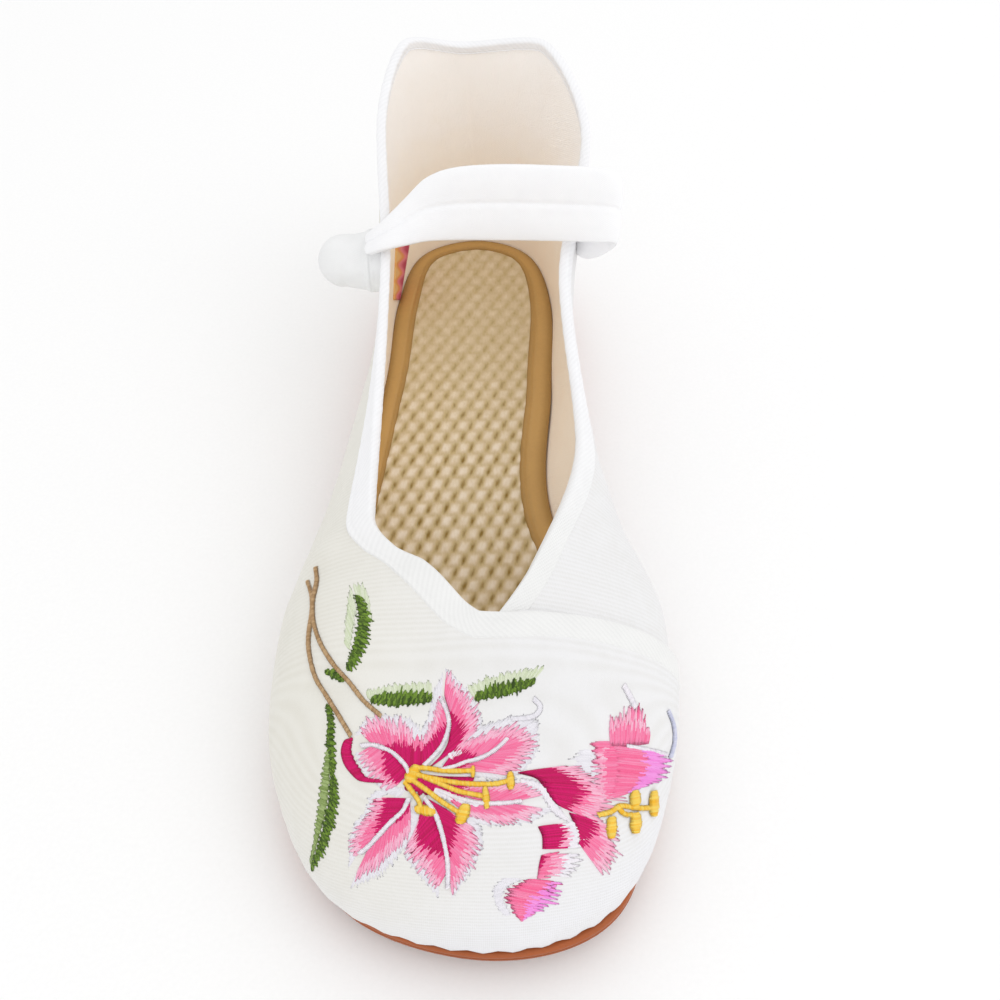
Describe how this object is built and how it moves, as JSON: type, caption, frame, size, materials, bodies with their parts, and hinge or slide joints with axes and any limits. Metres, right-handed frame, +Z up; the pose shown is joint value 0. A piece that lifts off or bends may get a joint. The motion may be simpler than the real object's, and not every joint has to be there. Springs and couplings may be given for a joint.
{
  "type": "embroidered cloth shoe",
  "caption": "Right-foot cloth shoe: white wrapped upper with floral embroidery on the toe, instep strap with a ball button, woven insole and brown rubber sole",
  "frame": {"origin": "middle of the bounding box in X and Y, on the floor under the sole", "axes": "toe towards -Y, heel towards +Y, medial side towards +X, +Z up"},
  "size_m": [0.1, 0.2454, 0.0981],
  "materials": {
    "brown_rubber": "smooth matt",
    "woven_linen": "coarse basket weave",
    "brown_band": "smooth tape",
    "white_cloth": "fine ribbed cotton",
    "binding_cloth": "plain folded cotton",
    "strap_cloth": "plain folded cotton",
    "button_cloth": "knotted cotton cord",
    "loop_cloth": "cotton cord"
  },
  "bodies": {
    "root": {"outsole": "brown_rubber", "insole": "woven_linen", "insole_band": "brown_band", "upper": "white_cloth", "collar_binding_lateral": "binding_cloth", "collar_binding_medial": "binding_cloth", "strap": "strap_cloth", "button": "button_cloth", "button_loop": "loop_cloth"}
  },
  "joints": []
}
